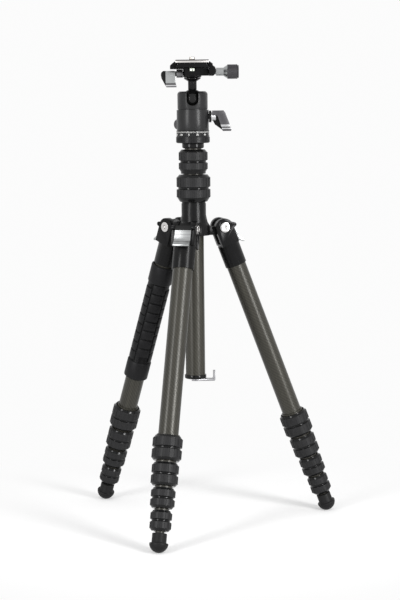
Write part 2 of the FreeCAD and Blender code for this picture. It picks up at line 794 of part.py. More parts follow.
def head_housing():
    """The pot round the ball: seam, rounded shoulder, front notch, and bores for shafts and spigot."""
    shell = turned("housing_pot", [
        ("0", "housing_low"),
        ("housing_radius", "housing_low"),
        ("housing_radius", "housing_seam - housing_seam_width"),
        ("housing_upper_radius - housing_seam_depth", "housing_seam - housing_seam_width"),
        ("housing_upper_radius - housing_seam_depth", "housing_seam"),
        ("housing_upper_radius", "housing_seam"),
        ("housing_upper_radius", "ball_centre + shoulder_above_ball"),
        ("housing_upper_radius - 0.6", "ball_centre + shoulder_above_ball + 1.5"),
        ("rim_radius + 0.8", "ball_centre + rim_above_ball - 0.3"),
        ("rim_radius", "ball_centre + rim_above_ball"),
        ("0", "ball_centre + rim_above_ball"),
    ])
    mouth = doc.addObject("Part::Cone", "housing_mouth")
    mouth.setExpression("Radius1", bound("sqrt(cavity_radius ^ 2 - opening_above_ball ^ 2)"))
    mouth.setExpression("Radius2", bound("opening_radius"))
    mouth.setExpression("Height", bound("rim_above_ball - opening_above_ball"))
    place(mouth, ("0", "0", "ball_centre + opening_above_ball"))
    bore_low = "(ball_centre - seat_low - seat_travel - turning_gap)"
    piece("head_housing", cut(
        "housing_machined", shell, mouth,
        ball("housing_cavity", "cavity_radius", ("0", "0", "ball_centre")),
        rod("housing_seat_bore", "cavity_radius", f"ball_centre - {bore_low}", ("0", "0", bore_low)),
        rod("housing_spigot_bore", "base_spigot_radius + sliding_fit",
            "base_spigot_height + turning_gap + 1", ("0", "0", "housing_low - 1")),
        rod("housing_lock_hole", "lock_shaft_radius + sliding_fit", "housing_radius + 1",
            ("lock_shaft_start - side_gap", "0", "lock_axis"), "X"),
        place(rod("housing_pan_hole", "pan_lock_shaft_radius + sliding_fit", "housing_radius", ("0", "0", "0")),
              ("base_spigot_radius * cos(pan_lock_yaw * 1deg)", "base_spigot_radius * sin(pan_lock_yaw * 1deg)",
               "pan_lock_axis"), ("pan_lock_yaw", "90", "0")),
        rod("housing_notch_end", "notch_half_width", "housing_radius + 1",
            ("0", "-housing_radius - 1", "ball_centre"), "Y"),
        block("housing_notch", ("-notch_half_width", "-housing_radius - 1", "ball_centre"),
              ("notch_half_width", "0", "ball_centre + rim_above_ball + 1"))))


def ball_and_stem():
    centre = ("0", "0", "ball_centre")
    piece("head_ball", ball("steel_ball", "ball_radius", centre))
    piece("ball_seat", cut(
        "seat_cup",
        rod("seat_disc", "ball_radius", "seat_low - seat_high", ("0", "0", "ball_centre - seat_low")),
        ball("seat_hollow", "cavity_radius + turning_gap", centre)))
    post = turned("stem_post", [
        ("0", "ball_centre"),
        ("stem_radius", "ball_centre"),
        ("stem_radius", "stem_top"),
        ("cone_radius", "cone_top - 1.2"),
        ("cone_radius", "cone_top"),
        ("spigot_radius", "cone_top"),
        ("spigot_radius", "spigot_top - clamp_gap"),
        ("0", "spigot_top - clamp_gap"),
    ])
    piece("ball_stem", cut("stem_on_ball", post, ball("stem_hollow", "cavity_radius", centre)))


def ball_lock_lever():
    """Shaft, ring, boss and the swept wing that locks the ball."""
    ring_start = "(housing_radius + side_gap)"
    boss_start = "(housing_radius + side_gap + lock_ring_width)"
    wing_top = "(lock_axis + 6.6)"
    rim = slab("lock_wing_rim", [
        (f"{boss_start} + 1", wing_top),
        ("34.5", wing_top),
        ("36.2", f"{wing_top} - 2.2"),
        ("43.2", f"{wing_top} - 20.5"),
        ("42.6", f"{wing_top} - 22.8"),
        ("33.4", f"{wing_top} - 22.8"),
        ("28.4", f"{wing_top} - 7.4"),
        ("27", f"{wing_top} - 5.2"),
        (f"{boss_start} + 1", f"{wing_top} - 5.2"),
    ], "lock_wing_half")
    web = slab("lock_wing_web", [
        (f"{boss_start} + 1", f"{wing_top} - 5.2"),
        ("27", f"{wing_top} - 5.2"),
        ("29", f"{wing_top} - 8"),
        ("33.4", f"{wing_top} - 22"),
        ("24.6", f"{wing_top} - 15.5"),
        (f"{boss_start} + 1", f"{wing_top} - 10"),
    ], "lock_web_half")
    piece("ball_lock_lever", fused(
        "lock_lever", rim, web,
        rod("lock_shaft", "lock_shaft_radius", f"{boss_start} - lock_shaft_start",
            ("lock_shaft_start", "0", "lock_axis"), "X"),
        rod("lock_ring", "lock_ring_radius", "lock_ring_width", (ring_start, "0", "lock_axis"), "X"),
        rod("lock_boss", "lock_boss_radius", "lock_boss_width", (boss_start, "0", "lock_axis"), "X")))


def pan_lock_knob():
    """The small screw knob at the back that holds the pan."""
    start = "(housing_radius + side_gap)"
    knob = turned("pan_knob", [
        ("0", "base_spigot_radius + side_gap"),
        ("pan_lock_shaft_radius", "base_spigot_radius + side_gap"),
        ("pan_lock_shaft_radius", start),
        ("pan_lock_radius - 0.8", start),
        ("pan_lock_radius", f"{start} + 0.8"),
        ("pan_lock_radius", f"{start} + pan_lock_width - 1.5"),
        ("pan_lock_radius - 1.5", f"{start} + pan_lock_width"),
        ("0", f"{start} + pan_lock_width"),
    ])
    piece("pan_lock_knob", knob, ("0", "0", "pan_lock_axis"), ("pan_lock_yaw", "90", "0"))


# ---------------------------------------------------------------- quick-release clamp
def clamp_body():
    """Turning post, floor and fixed jaw, with a spirit level let into its front."""
    deck = slab("clamp_deck", [
        ("-jaw_left", "floor_low"),
        ("-jaw_left", "clamp_base + jaw_shoulder"),
        ("-jaw_left + jaw_bevel", "clamp_base + lip_shoulder"),
        ("-(plate_flange_half + side_gap + lip_tip)", "jaw_face"),
        ("-(plate_flange_half + side_gap)", "jaw_face"),
        ("-(plate_flange_half + side_gap)", "jaw_nose_top"),
        ("-jaw_nose", "jaw_nose_top"),
        ("-jaw_nose", "jaw_nose_low"),
        ("-jaw_wall", "jaw_pocket_top"),
        ("-jaw_wall", "floor_top"),
        ("body_right", "floor_top"),
        ("body_right", "floor_low"),
    ], "clamp_half_length")
    post = turned("clamp_post", [
        ("0", "clamp_base"),
        ("post_radius - 1", "clamp_base"),
        ("post_radius", "clamp_base + 1"),
        ("post_radius", "floor_low"),
        ("0", "floor_low"),
    ])
    solid = fused(
        "clamp_solid", deck, post,
        block("clamp_block", ("0", "-body_block_half", "clamp_base + body_block_low"),
              ("body_right", "body_block_half", "floor_low")),
        block("clamp_bracket", ("-vial_bracket_half", "-clamp_half_length", "clamp_base + body_block_low"),
              ("vial_bracket_half", "0", "floor_low")))
    vial_at = ("-vial_half_length", "vial_sink - clamp_half_length", "clamp_base + vial_height")
    tools = [
        rod("clamp_spigot_bore", "spigot_radius + sliding_fit", "spigot_height + 1",
            ("0", "0", "clamp_base - 1")),
        rod("clamp_screw_hole", "screw_radius + sliding_fit", "body_right - screw_tip + 2",
            ("screw_tip - side_gap", "0", "screw_axis"), "X"),
        rod("clamp_lever_hole", "pan_lever_shaft_radius + sliding_fit", "post_radius - spigot_radius + 1",
            ("-post_radius - 1", "0", "pan_lever_axis"), "X"),
        rod("clamp_vial_seat", "vial_radius", "vial_half_length * 2", vial_at, "X"),
    ]
    for side in (-1, 1):
        tools.append(rod(f"clamp_guide_hole_{side + 1}", "guide_pin_radius + sliding_fit",
                         "guide_pin_length + 2",
                         ("body_right - guide_pin_length - side_gap", f"guide_pin_spread * {side}",
                          "screw_axis - 1"), "X"))
    vial = rod("clamp_vial", "vial_radius", "vial_half_length * 2", vial_at, "X")
    piece("clamp_body", together("clamp_body_set", cut("clamp_machined", solid, *tools), vial))


def clamp_jaw():
    """The moving jaw with its two guide pins."""
    inner = "(body_right + side_gap)"
    profile = slab("jaw_profile", [
        (inner, "clamp_base + jaw_low"),
        ("jaw_right - jaw_bevel * 1.5", "clamp_base + jaw_low"),
        ("jaw_right - jaw_bevel * 0.5", "clamp_base + jaw_low + jaw_bevel"),
        ("jaw_right", "screw_axis"),
        ("jaw_right", "screw_axis + jaw_bevel"),
        ("jaw_right - jaw_bevel * 0.5", "clamp_base + jaw_shoulder - jaw_bevel"),
        ("jaw_right - lip_inset", "clamp_base + jaw_shoulder"),
        ("jaw_right - lip_inset", "clamp_base + lip_shoulder"),
        ("plate_flange_half + side_gap + lip_tip", "jaw_face"),
        ("plate_flange_half + side_gap", "jaw_face"),
        ("plate_flange_half + side_gap", "jaw_nose_top"),
        ("jaw_nose", "jaw_nose_top"),
        ("jaw_nose", "jaw_nose_low"),
        ("jaw_wall", "jaw_pocket_top"),
        ("jaw_wall", "floor_top"),
        (inner, "floor_top"),
    ], "clamp_half_length")
    bored = cut("jaw_bored", profile,
                rod("jaw_screw_hole", "screw_radius + sliding_fit", f"jaw_right - {inner} + 2",
                    (f"{inner} - 1", "0", "screw_axis"), "X"))
    pins = [rod(f"jaw_guide_pin_{side + 1}", "guide_pin_radius", "guide_pin_length + side_gap + 1",
                ("body_right - guide_pin_length", f"guide_pin_spread * {side}", "screw_axis - 1"), "X")
            for side in (-1, 1)]
    piece("clamp_jaw", fused("jaw_with_pins", bored, *pins))


def clamp_knob():
    """The clamping screw with its shaft, cone and grip."""
    knob = turned("clamp_screw", [
        ("0", "screw_tip"),
        ("screw_radius", "screw_tip"),
        ("screw_radius", "knob_start"),
        ("knob_shaft_radius", "knob_start"),
        ("knob_shaft_radius", "knob_cone_start"),
        ("knob_radius", "knob_grip_start"),
        ("knob_radius", "knob_end - knob_edge"),
        ("knob_radius - knob_edge", "knob_end"),
        ("0", "knob_end"),
    ])
    piece("clamp_knob", knob, ("0", "0", "screw_axis"), ("0", "90", "0"))


def clamp_pan_lever():
    """The lever that locks the turntable: hub, shaft and curved paddle."""
    hub_end = "-pan_lever_hub_end"
    paddle = slab("pan_paddle", [
        (f"{hub_end} + 1", "pan_lever_axis + 2.6"),
        (f"{hub_end} - 1.7", "pan_lever_axis + 2.6"),
        (f"{hub_end} - 2.2", "pan_lever_axis + 3.1"),
        (f"{hub_end} - 15", "pan_lever_axis + 3.1"),
        (f"{hub_end} - 17", "pan_lever_axis + 1.2"),
        (f"{hub_end} - 17.5", "pan_lever_axis - 1.5"),
        (f"{hub_end} - 16.8", "pan_lever_axis - 5"),
        (f"{hub_end} - 14", "pan_lever_axis - 10.5"),
        (f"{hub_end} - 11.4", "pan_lever_axis - 15.1"),
        (f"{hub_end} - 0.1", "pan_lever_axis - 15.1"),
        (f"{hub_end} - 0.1", "pan_lever_axis - 13.8"),
        (f"{hub_end} - 1.4", "pan_lever_axis - 9"),
        (f"{hub_end} - 1.7", "pan_lever_axis - 3"),
        (f"{hub_end} + 1", "pan_lever_axis - 3"),
    ], "pan_lever_half_width")
    shaft_start = "(post_radius + turning_gap)"
    piece("clamp_pan_lever", fused(
        "pan_lever", paddle,
        rod("pan_lever_hub", "pan_lever_hub_radius", f"pan_lever_hub_end - {shaft_start}",
            (hub_end, "0", "pan_lever_axis"), "X"),
        rod("pan_lever_shaft", "pan_lever_shaft_radius",
            f"{shaft_start} - spigot_radius - side_gap + 1",
            (f"-{shaft_start} - 1", "0", "pan_lever_axis"), "X")))


# ---------------------------------------------------------------- camera plate
def camera_plate():
    """Dovetail plate with a slotted hole and a recess under it for the screw head."""
    profile = slab("plate_profile", [
        ("-dovetail_half", "plate_low"),
        ("dovetail_half", "plate_low"),
        ("dovetail_neck", "dovetail_top"),
        ("dovetail_neck", "flange_low"),
        ("plate_flange_half", "flange_low"),
        ("plate_flange_half", "plate_face - plate_edge"),
        ("plate_flange_half - plate_edge", "plate_face"),
        ("-plate_flange_half + plate_edge", "plate_face"),
        ("-plate_flange_half", "plate_face - plate_edge"),
        ("-plate_flange_half", "flange_low"),
        ("-dovetail_neck", "flange_low"),
        ("-dovetail_neck", "dovetail_top"),
    ], "plate_half_length")
    tools = []
    for kind, radius, top in (("slot", "(camera_screw_radius + sliding_fit)", "plate_face + 1"),
                              ("recess", "(camera_head_radius + sliding_fit)",
                               "plate_low + side_gap * 2 + camera_head_height")):
        height = f"{top} - plate_low + 1"
        tools.append(block(f"plate_{kind}", (f"-{radius}", "-camera_slot_half", "plate_low - 1"),
                           (radius, "camera_slot_half", top)))
        for end in (-1, 1):
            tools.append(rod(f"plate_{kind}_end_{end + 1}", radius, height,
                             ("0", f"camera_slot_half * {end}", "plate_low - 1")))
    piece("camera_plate", cut("plate_machined", profile, *tools))


def camera_screw():
    head_low = "(plate_low + side_gap)"
    head_top = "(plate_low + side_gap + camera_head_height)"
    tip = "(plate_face + camera_screw_rise)"
    screw = turned("camera_screw_blank", [
        ("0", head_low),
        ("camera_head_radius", head_low),
        ("camera_head_radius", head_top),
        ("camera_neck_radius", head_top),
        ("camera_neck_radius", "plate_face"),
        ("camera_screw_radius", "plate_face"),
        ("camera_screw_radius", f"{tip} - 0.6"),
        ("camera_screw_radius - 0.6", tip),
        ("0", tip),
    ])
    slots = [block(f"camera_screw_slot_{count}",
                   ("-camera_head_radius", "-screw_slot_width / 2", low),
                   ("camera_head_radius", "screw_slot_width / 2", high))
             for count, low, high in ((1, f"{head_low} - 1", f"{head_low} + screw_slot_depth"),
                                      (2, f"{tip} - screw_slot_depth", f"{tip} + 1"))]
    piece("camera_screw", cut("camera_screw_slotted", screw, *slots))


# ---------------------------------------------------------------- build and write
crown()
pivot_bolts()
for leg_side in ("front", "right", "left"):
    leg(leg_side)
column()
bag_hook()
head_base()
head_housing()
ball_and_stem()
ball_lock_lever()
pan_lock_knob()
clamp_body()
clamp_jaw()
clamp_knob()
clamp_pan_lever()
camera_plate()
camera_screw()
doc.recompute()

for thing in doc.Objects:
    if "Invalid" in thing.State or "Error" in thing.State:
        raise RuntimeError(f"{thing.Label} did not build: {thing.State}")
for finished in PIECES:
    if finished.Shape.isNull() or not finished.Shape.isValid() or not finished.Shape.Solids:
        raise RuntimeError(f"{finished.Label} has no valid solid")

os.makedirs("parts", exist_ok=True)
for finished in PIECES:
    finished.Shape.exportStep(f"parts/{finished.Label}.step")
print(len(PIECES), "sub-parts written")
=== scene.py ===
import bpy
import json
from math import cos, pi, radians, sin
from mathutils import Euler, Matrix, Vector

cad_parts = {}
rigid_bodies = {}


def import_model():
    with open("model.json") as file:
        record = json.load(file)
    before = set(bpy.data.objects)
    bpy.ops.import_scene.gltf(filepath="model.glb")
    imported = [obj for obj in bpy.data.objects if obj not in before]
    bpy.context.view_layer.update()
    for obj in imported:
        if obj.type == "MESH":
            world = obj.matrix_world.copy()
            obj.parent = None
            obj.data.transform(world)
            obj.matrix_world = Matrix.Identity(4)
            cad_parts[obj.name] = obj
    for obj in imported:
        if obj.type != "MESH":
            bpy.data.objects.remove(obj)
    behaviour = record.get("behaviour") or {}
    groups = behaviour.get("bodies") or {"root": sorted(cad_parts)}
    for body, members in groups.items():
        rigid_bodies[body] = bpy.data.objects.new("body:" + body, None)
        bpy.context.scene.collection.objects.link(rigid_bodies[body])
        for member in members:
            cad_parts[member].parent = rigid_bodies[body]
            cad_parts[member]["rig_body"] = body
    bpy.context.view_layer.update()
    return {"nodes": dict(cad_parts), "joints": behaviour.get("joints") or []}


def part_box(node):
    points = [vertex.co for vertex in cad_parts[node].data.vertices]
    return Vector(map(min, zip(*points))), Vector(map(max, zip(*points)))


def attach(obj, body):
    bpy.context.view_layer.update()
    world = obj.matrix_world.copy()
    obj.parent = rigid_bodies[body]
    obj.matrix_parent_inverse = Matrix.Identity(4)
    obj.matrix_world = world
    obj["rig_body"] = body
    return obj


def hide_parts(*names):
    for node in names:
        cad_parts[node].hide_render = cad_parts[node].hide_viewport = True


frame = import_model()

# ---------------------------------------------------------------- crown and leg forks
# The crown and the three leg forks are alloy castings, machined at the joints and anodised satin black.
# Every edge is broken by hand after milling. The same broken edge finishes all machined parts below.
edge_break = 0.0004
casting_black = (0.004, 0.004, 0.0042)


def arithmetic(group):
    """A function that adds a maths node to this group and gives its result."""
    def worked(operation, *values):
        node = group.nodes.new("ShaderNodeMath")
        node.operation = operation
        for socket, value in zip(node.inputs, values):
            if isinstance(value, (int, float)):
                socket.default_value = value
            else:
                group.links.new(value, socket)
        return node.outputs[0]
    return worked


def grain_group():
    """Fine mottling of an anodised or moulded skin: a colour, a roughness and a height."""
    group = bpy.data.node_groups.new("fine_grain", "ShaderNodeTree")
    for name, kind in (("Colour", "NodeSocketColor"), ("Roughness", "NodeSocketFloat"),
                       ("Scale", "NodeSocketFloat"), ("Mottle", "NodeSocketFloat")):
        group.interface.new_socket(name, in_out="INPUT", socket_type=kind)
    for name, kind in (("Colour", "NodeSocketColor"), ("Roughness", "NodeSocketFloat"),
                       ("Height", "NodeSocketFloat")):
        group.interface.new_socket(name, in_out="OUTPUT", socket_type=kind)
    nodes, links = group.nodes, group.links
    inlet = nodes.new("NodeGroupInput")
    outlet = nodes.new("NodeGroupOutput")
    place = nodes.new("ShaderNodeTexCoord")
    fine = nodes.new("ShaderNodeTexNoise")
    fine.inputs["Detail"].default_value = 3
    broad = nodes.new("ShaderNodeTexNoise")
    broad.inputs["Scale"].default_value = 60
    broad.inputs["Detail"].default_value = 4
    links.new(place.outputs["Object"], fine.inputs["Vector"])
    links.new(place.outputs["Object"], broad.inputs["Vector"])
    links.new(inlet.outputs["Scale"], fine.inputs["Scale"])

    sums = arithmetic(group)
    both = sums("ADD", sums("MULTIPLY", fine.outputs["Fac"], 0.5),
                sums("MULTIPLY", broad.outputs["Fac"], 0.5))
    swing = sums("MULTIPLY", sums("SUBTRACT", both, 0.5), inlet.outputs["Mottle"])
    tint = nodes.new("ShaderNodeHueSaturation")
    links.new(sums("ADD", sums("MULTIPLY", swing, 2.0), 1.0), tint.inputs["Value"])
    links.new(inlet.outputs["Colour"], tint.inputs["Color"])
    links.new(tint.outputs["Color"], outlet.inputs["Colour"])
    rougher = sums("ADD", inlet.outputs["Roughness"], sums("MULTIPLY", swing, 0.35))
    links.new(rougher, outlet.inputs["Roughness"])
    links.new(fine.outputs["Fac"], outlet.inputs["Height"])
    return group


fine_grain = grain_group()


def finish(name, colour, metallic, roughness, grain=2500, mottle=0.4, bump=0.05, **plain):
    """A material with the fine grain. Plain values go straight onto the shader."""
    material = bpy.data.materials.new(name)
    material.use_nodes = True
    material.diffuse_color = (*colour, 1)
    nodes, links = material.node_tree.nodes, material.node_tree.links
    shader = nodes["Principled BSDF"]
    shader.inputs["Metallic"].default_value = metallic
    for socket, value in plain.items():
        shader.inputs[socket.replace("_", " ")].default_value = value
    skin = nodes.new("ShaderNodeGroup")
    skin.node_tree = fine_grain
    skin.inputs["Colour"].default_value = (*colour, 1)
    skin.inputs["Roughness"].default_value = roughness
    skin.inputs["Scale"].default_value = grain
    skin.inputs["Mottle"].default_value = mottle
    relief = nodes.new("ShaderNodeBump")
    relief.inputs["Strength"].default_value = bump
    relief.inputs["Distance"].default_value = 0.0002
    links.new(skin.outputs["Colour"], shader.inputs["Base Color"])
    links.new(skin.outputs["Roughness"], shader.inputs["Roughness"])
    links.new(skin.outputs["Height"], relief.inputs["Height"])
    links.new(relief.outputs["Normal"], shader.inputs["Normal"])
    return material


def alone(piece):
    """Select this piece and nothing else."""
    if bpy.context.mode != "OBJECT":
        bpy.ops.object.mode_set(mode="OBJECT")
    bpy.ops.object.select_all(action="DESELECT")
    piece.select_set(True)
    bpy.context.view_layer.objects.active = piece


def broken_edges(piece, width, segments=2, angle=40):
    """Round the sharp edges and shade the rest smooth."""
    alone(piece)
    bevel = piece.modifiers.new("broken_edge", "BEVEL")
    bevel.width = width
    bevel.segments = segments
    bevel.limit_method = "ANGLE"
    bevel.angle_limit = radians(angle)
    bevel.harden_normals = False
    bpy.ops.object.modifier_apply(modifier=bevel.name)
    bpy.ops.object.shade_smooth_by_angle(angle=radians(35))


def machined(node, material, edge=edge_break):
    """A finished copy of a machined part, edges broken, in the part's place."""
    rough = frame["nodes"][node]
    piece = bpy.data.objects.new(node + "_finished", rough.data.copy())
    bpy.context.collection.objects.link(piece)
    piece.data.materials.clear()
    piece.data.materials.append(material)
    alone(piece)
    bpy.ops.object.mode_set(mode="EDIT")
    bpy.ops.mesh.select_all(action="SELECT")
    bpy.ops.mesh.remove_doubles(threshold=0.000002)
    bpy.ops.mesh.dissolve_limited(angle_limit=radians(0.4))
    bpy.ops.object.mode_set(mode="OBJECT")
    broken_edges(piece, edge)
    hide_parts(node)
    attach(piece, rough["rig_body"])
    return piece


sides = ("front", "right", "left")
black_casting = finish("black_casting", casting_black, 0.0, 0.28, mottle=0.5, Specular_IOR_Level=0.14)
machined("crown", black_casting, edge=0.0008)
for side in sides:
    machined(side + "_leg_top", black_casting, edge=0.0007)

# ---------------------------------------------------------------- hinge bolts
# Hex-socket bolts and cap nuts, polished and chromed. They hold each fork on its crown lug.
chrome = finish("bolt_chrome", (0.62, 0.61, 0.60), 1.0, 0.18, mottle=0.15, bump=0.02)
machined("leg_pivot_bolts", chrome, edge=0.0003)

# ---------------------------------------------------------------- angle latches
# Pressed alloy plates with a flared lip, satin silver, each on a roll pin with a spring behind it.
# The top of each plate is black. Four darker lines cross the rest, painted shade on the flat face where
# grooves would be shaded.
satin_silver = finish("satin_silver", (0.36, 0.37, 0.37), 1.0, 0.32, mottle=0.3, bump=0.04)
joints = {joint["name"]: joint for joint in frame["joints"]}


def leg_frame(side):
    """Where a leg stands: Z up along the leg, X away from the column, zero on the hinge."""
    hinge = Vector(joints[side + "_leg_spread"]["pos_m"])
    pin = Vector(joints[side + "_leg_spread"]["axis"])
    down = Vector(joints[side + "_section_2_slide"]["axis"])
    away = pin.cross(down)
    turn = Matrix((away, -pin, -down)).transposed().to_4x4()
    return Matrix.Translation(hinge) @ turn


def scribe(piece, point, normal):
    """Cut the faces of a piece along a plane, so that a band can have its own finish."""
    alone(piece)
    bpy.ops.object.mode_set(mode="EDIT")
    bpy.ops.mesh.select_all(action="SELECT")
    bpy.ops.mesh.bisect(plane_co=point, plane_no=normal)
    bpy.ops.object.mode_set(mode="OBJECT")


def paint(piece, material, test):
    """Put a further finish on the faces whose centre and normal pass the test."""
    piece.data.materials.append(material)
    number = len(piece.data.materials) - 1
    for face in piece.data.polygons:
        if test(face.center, face.normal):
            face.material_index = number


latch_black = finish("latch_black", (0.006, 0.006, 0.006), 0.0, 0.35, mottle=0.3, Specular_IOR_Level=0.2)
groove_shade_grey = finish("latch_line", (0.22, 0.22, 0.225), 1.0, 0.4, mottle=0.3)
latch_black_end = 0.0045
latch_lines = ((0.0056, 0.0060), (0.0092, 0.0098), (0.0128, 0.0134), (0.0172, 0.0180))


def on_line(depth):
    """Whether a depth below the hinge lies on one of the lines."""
    return any(low < depth < high for low, high in latch_lines)


leg_stand = {side: leg_frame(side) for side in sides}
latch_cuts = [edge for line in latch_lines for edge in line] + [latch_black_end]
for side in sides:
    latch = machined(side + "_leg_latch", satin_silver, edge=0.0003)
    hinge = leg_stand[side].translation
    down = leg_stand[side].to_3x3() @ Vector((0, 0, -1))
    for depth in latch_cuts:
        scribe(latch, hinge + down * depth, down)
    # Painted shade: the darker lines stand for shaded grooves across each plate.
    paint(latch, groove_shade_grey, lambda at, facing: on_line((at - hinge).dot(down)))
    paint(latch, latch_black, lambda at, facing: (at - hinge).dot(down) < latch_black_end)

# ---------------------------------------------------------------- leg and column tubes
# Rolled carbon-fibre tubes: a fine twill under satin lacquer, warm dark grey. The pattern wraps each tube,
# so each leg and the column has the pattern turned into line with it.
carbon_dark = (0.009, 0.0082, 0.0068)
carbon_light = (0.040, 0.038, 0.030)
carbon_thread = 0.0011
twill_share = 0.35
streak_share = 0.9
least_share = 0.05
streak_grain = (220, 220, 9)


def twill_group():
    """A two-by-two twill wrapped round a tube: which thread is on top, and its height."""
    group = bpy.data.node_groups.new("twill_weave", "ShaderNodeTree")
    for name, kind in (("Vector", "NodeSocketVector"), ("Radius", "NodeSocketFloat"),
                       ("Thread", "NodeSocketFloat")):
        group.interface.new_socket(name, in_out="INPUT", socket_type=kind)
    for name in ("Top", "Height"):
        group.interface.new_socket(name, in_out="OUTPUT", socket_type="NodeSocketFloat")
    nodes, links = group.nodes, group.links
    inlet = nodes.new("NodeGroupInput")
    outlet = nodes.new("NodeGroupOutput")
    split = nodes.new("ShaderNodeSeparateXYZ")
    links.new(inlet.outputs["Vector"], split.inputs["Vector"])

    sums = arithmetic(group)
    angle = sums("ARCTAN2", split.outputs["Y"], split.outputs["X"])
    round_it = sums("DIVIDE", sums("MULTIPLY", angle, inlet.outputs["Radius"]), inlet.outputs["Thread"])
    along_it = sums("DIVIDE", split.outputs["Z"], inlet.outputs["Thread"])
    step = sums("ADD", sums("FLOOR", round_it), sums("FLOOR", along_it))
    on_top = sums("LESS_THAN", sums("FRACT", sums("DIVIDE", step, 4.0)), 0.5)
    hump_round = sums("ABSOLUTE", sums("SINE", sums("MULTIPLY", round_it, pi)))
    hump_along = sums("ABSOLUTE", sums("SINE", sums("MULTIPLY", along_it, pi)))
    height = sums("ADD", sums("MULTIPLY", hump_round, on_top),
                  sums("MULTIPLY", hump_along, sums("SUBTRACT", 1.0, on_top)))
    links.new(on_top, outlet.inputs["Top"])
    links.new(height, outlet.inputs["Height"])
    return group


twill_weave = twill_group()


def carbon(name, stand, radius):
    """Lacquered twill for tubes that stand in the given frame."""
    material = bpy.data.materials.new(name)
    material.use_nodes = True
    material.diffuse_color = (*carbon_light, 1)
    nodes, links = material.node_tree.nodes, material.node_tree.links
    shader = nodes["Principled BSDF"]
    place = nodes.new("ShaderNodeTexCoord")
    level = nodes.new("ShaderNodeMapping")
    back = stand.inverted()
    level.inputs["Rotation"].default_value = back.to_euler()
    level.inputs["Location"].default_value = back.translation
    weave = nodes.new("ShaderNodeGroup")
    weave.node_tree = twill_weave
    weave.inputs["Radius"].default_value = radius
    weave.inputs["Thread"].default_value = carbon_thread
    streak_place = nodes.new("ShaderNodeMapping")
    streak_place.inputs["Scale"].default_value = streak_grain
    streak = nodes.new("ShaderNodeTexNoise")
    streak.inputs["Scale"].default_value = 1
    streak.inputs["Detail"].default_value = 3
    cloth = nodes.new("ShaderNodeMix")
    cloth.data_type = "RGBA"
    cloth.inputs["A"].default_value = (*carbon_dark, 1)
    cloth.inputs["B"].default_value = (*carbon_light, 1)
    share = nodes.new("ShaderNodeMath")
    share.operation = "MULTIPLY_ADD"
    share.inputs[1].default_value = twill_share
    share.inputs[2].default_value = least_share
    total = nodes.new("ShaderNodeMath")
    total.operation = "MULTIPLY_ADD"
    total.inputs[1].default_value = streak_share
    relief = nodes.new("ShaderNodeBump")
    relief.inputs["Strength"].default_value = 0.12
    relief.inputs["Distance"].default_value = 0.0001
    links.new(place.outputs["Object"], level.inputs["Vector"])
    links.new(level.outputs["Vector"], weave.inputs["Vector"])
    links.new(level.outputs["Vector"], streak_place.inputs["Vector"])
    links.new(streak_place.outputs["Vector"], streak.inputs["Vector"])
    links.new(weave.outputs["Top"], share.inputs[0])
    links.new(streak.outputs["Fac"], total.inputs[0])
    links.new(share.outputs[0], total.inputs[2])
    links.new(total.outputs[0], cloth.inputs["Factor"])
    links.new(cloth.outputs["Result"], shader.inputs["Base Color"])
    links.new(weave.outputs["Height"], relief.inputs["Height"])
    links.new(relief.outputs["Normal"], shader.inputs["Normal"])
    shader.inputs["Metallic"].default_value = 0.25
    shader.inputs["Roughness"].default_value = 0.32
    shader.inputs["Specular IOR Level"].default_value = 0.35
    return material


def dressed(node, material):
    """Give a part that keeps its shape its finish."""
    part = frame["nodes"][node]
    part.data.materials.clear()
    part.data.materials.append(material)


tube_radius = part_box("column_tube_1")[1].x
leg_tubes = 5
for side in sides:
    leg_carbon = carbon(side + "_carbon", leg_stand[side], tube_radius)
    for count in range(1, leg_tubes + 1):
        dressed(f"{side}_leg_tube_{count}", leg_carbon)
column_carbon = carbon("column_carbon", Matrix.Identity(4), tube_radius)
dressed("column_tube_1", column_carbon)
dressed("column_tube_2", column_carbon)

# ---------------------------------------------------------------- twist collars of the legs
# Each collar is a black alloy nut with tapered ends and a bright groove round its middle. Two bands of
# ribbed rubber are moulded onto it. The four sizes are turned once and fitted to all three legs.
band_rubber = (0.014, 0.014, 0.0145)
nut_black = (0.004, 0.004, 0.0042)
rib_rise = 0.00035
rib_pitch = 0.00125
band_round = 0.0005
fine_edge = 0.0001
band_stand = 0.0007
band_bite = 0.0002
groove_half = 0.0012
groove_floor = 0.6 * groove_half
groove_sink = 0.0011
collar_taper = 0.0024
taper_sink = 0.0019
taper_lap = 0.0001
lip_clear = 0.0001
mouth_clear = 0.0016
tube_step = 0.0015
collar_seat_depth = 0.0152

ribbed_rubber = finish("ribbed_rubber", band_rubber, 0.0, 0.45, grain=3200, mottle=0.7, bump=0.12,
                       Specular_IOR_Level=0.15)
nut_alloy = finish("nut_alloy", nut_black, 0.0, 0.16, mottle=0.2, bump=0.02, Specular_IOR_Level=0.2)


def lathe(name, outline, steps, sweep=2 * pi):
    """A ring turned about Z from a closed outline of (radius, height) points."""
    bpy.ops.object.select_all(action="DESELECT")
    bpy.ops.mesh.primitive_circle_add(vertices=len(outline), radius=0.01, fill_type="NOTHING")
    piece = bpy.context.object
    piece.name = name
    for corner, (radius, height) in zip(piece.data.vertices, outline):
        corner.co = (radius, 0, height)
    bpy.ops.object.mode_set(mode="EDIT")
    bpy.ops.mesh.select_all(action="SELECT")
    bpy.ops.mesh.spin(steps=steps, angle=sweep, center=(0, 0, 0), axis=(0, 0, 1))
    bpy.ops.mesh.select_all(action="SELECT")
    bpy.ops.mesh.remove_doubles(threshold=0.000005)
    if sweep < 2 * pi:
        bpy.ops.mesh.select_mode(type="EDGE")
        bpy.ops.mesh.select_all(action="DESELECT")
        bpy.ops.mesh.select_non_manifold()
        bpy.ops.mesh.fill_holes(sides=0)
        bpy.ops.mesh.select_all(action="SELECT")
    bpy.ops.mesh.normals_make_consistent(inside=False)
    bpy.ops.object.mode_set(mode="OBJECT")
    return piece


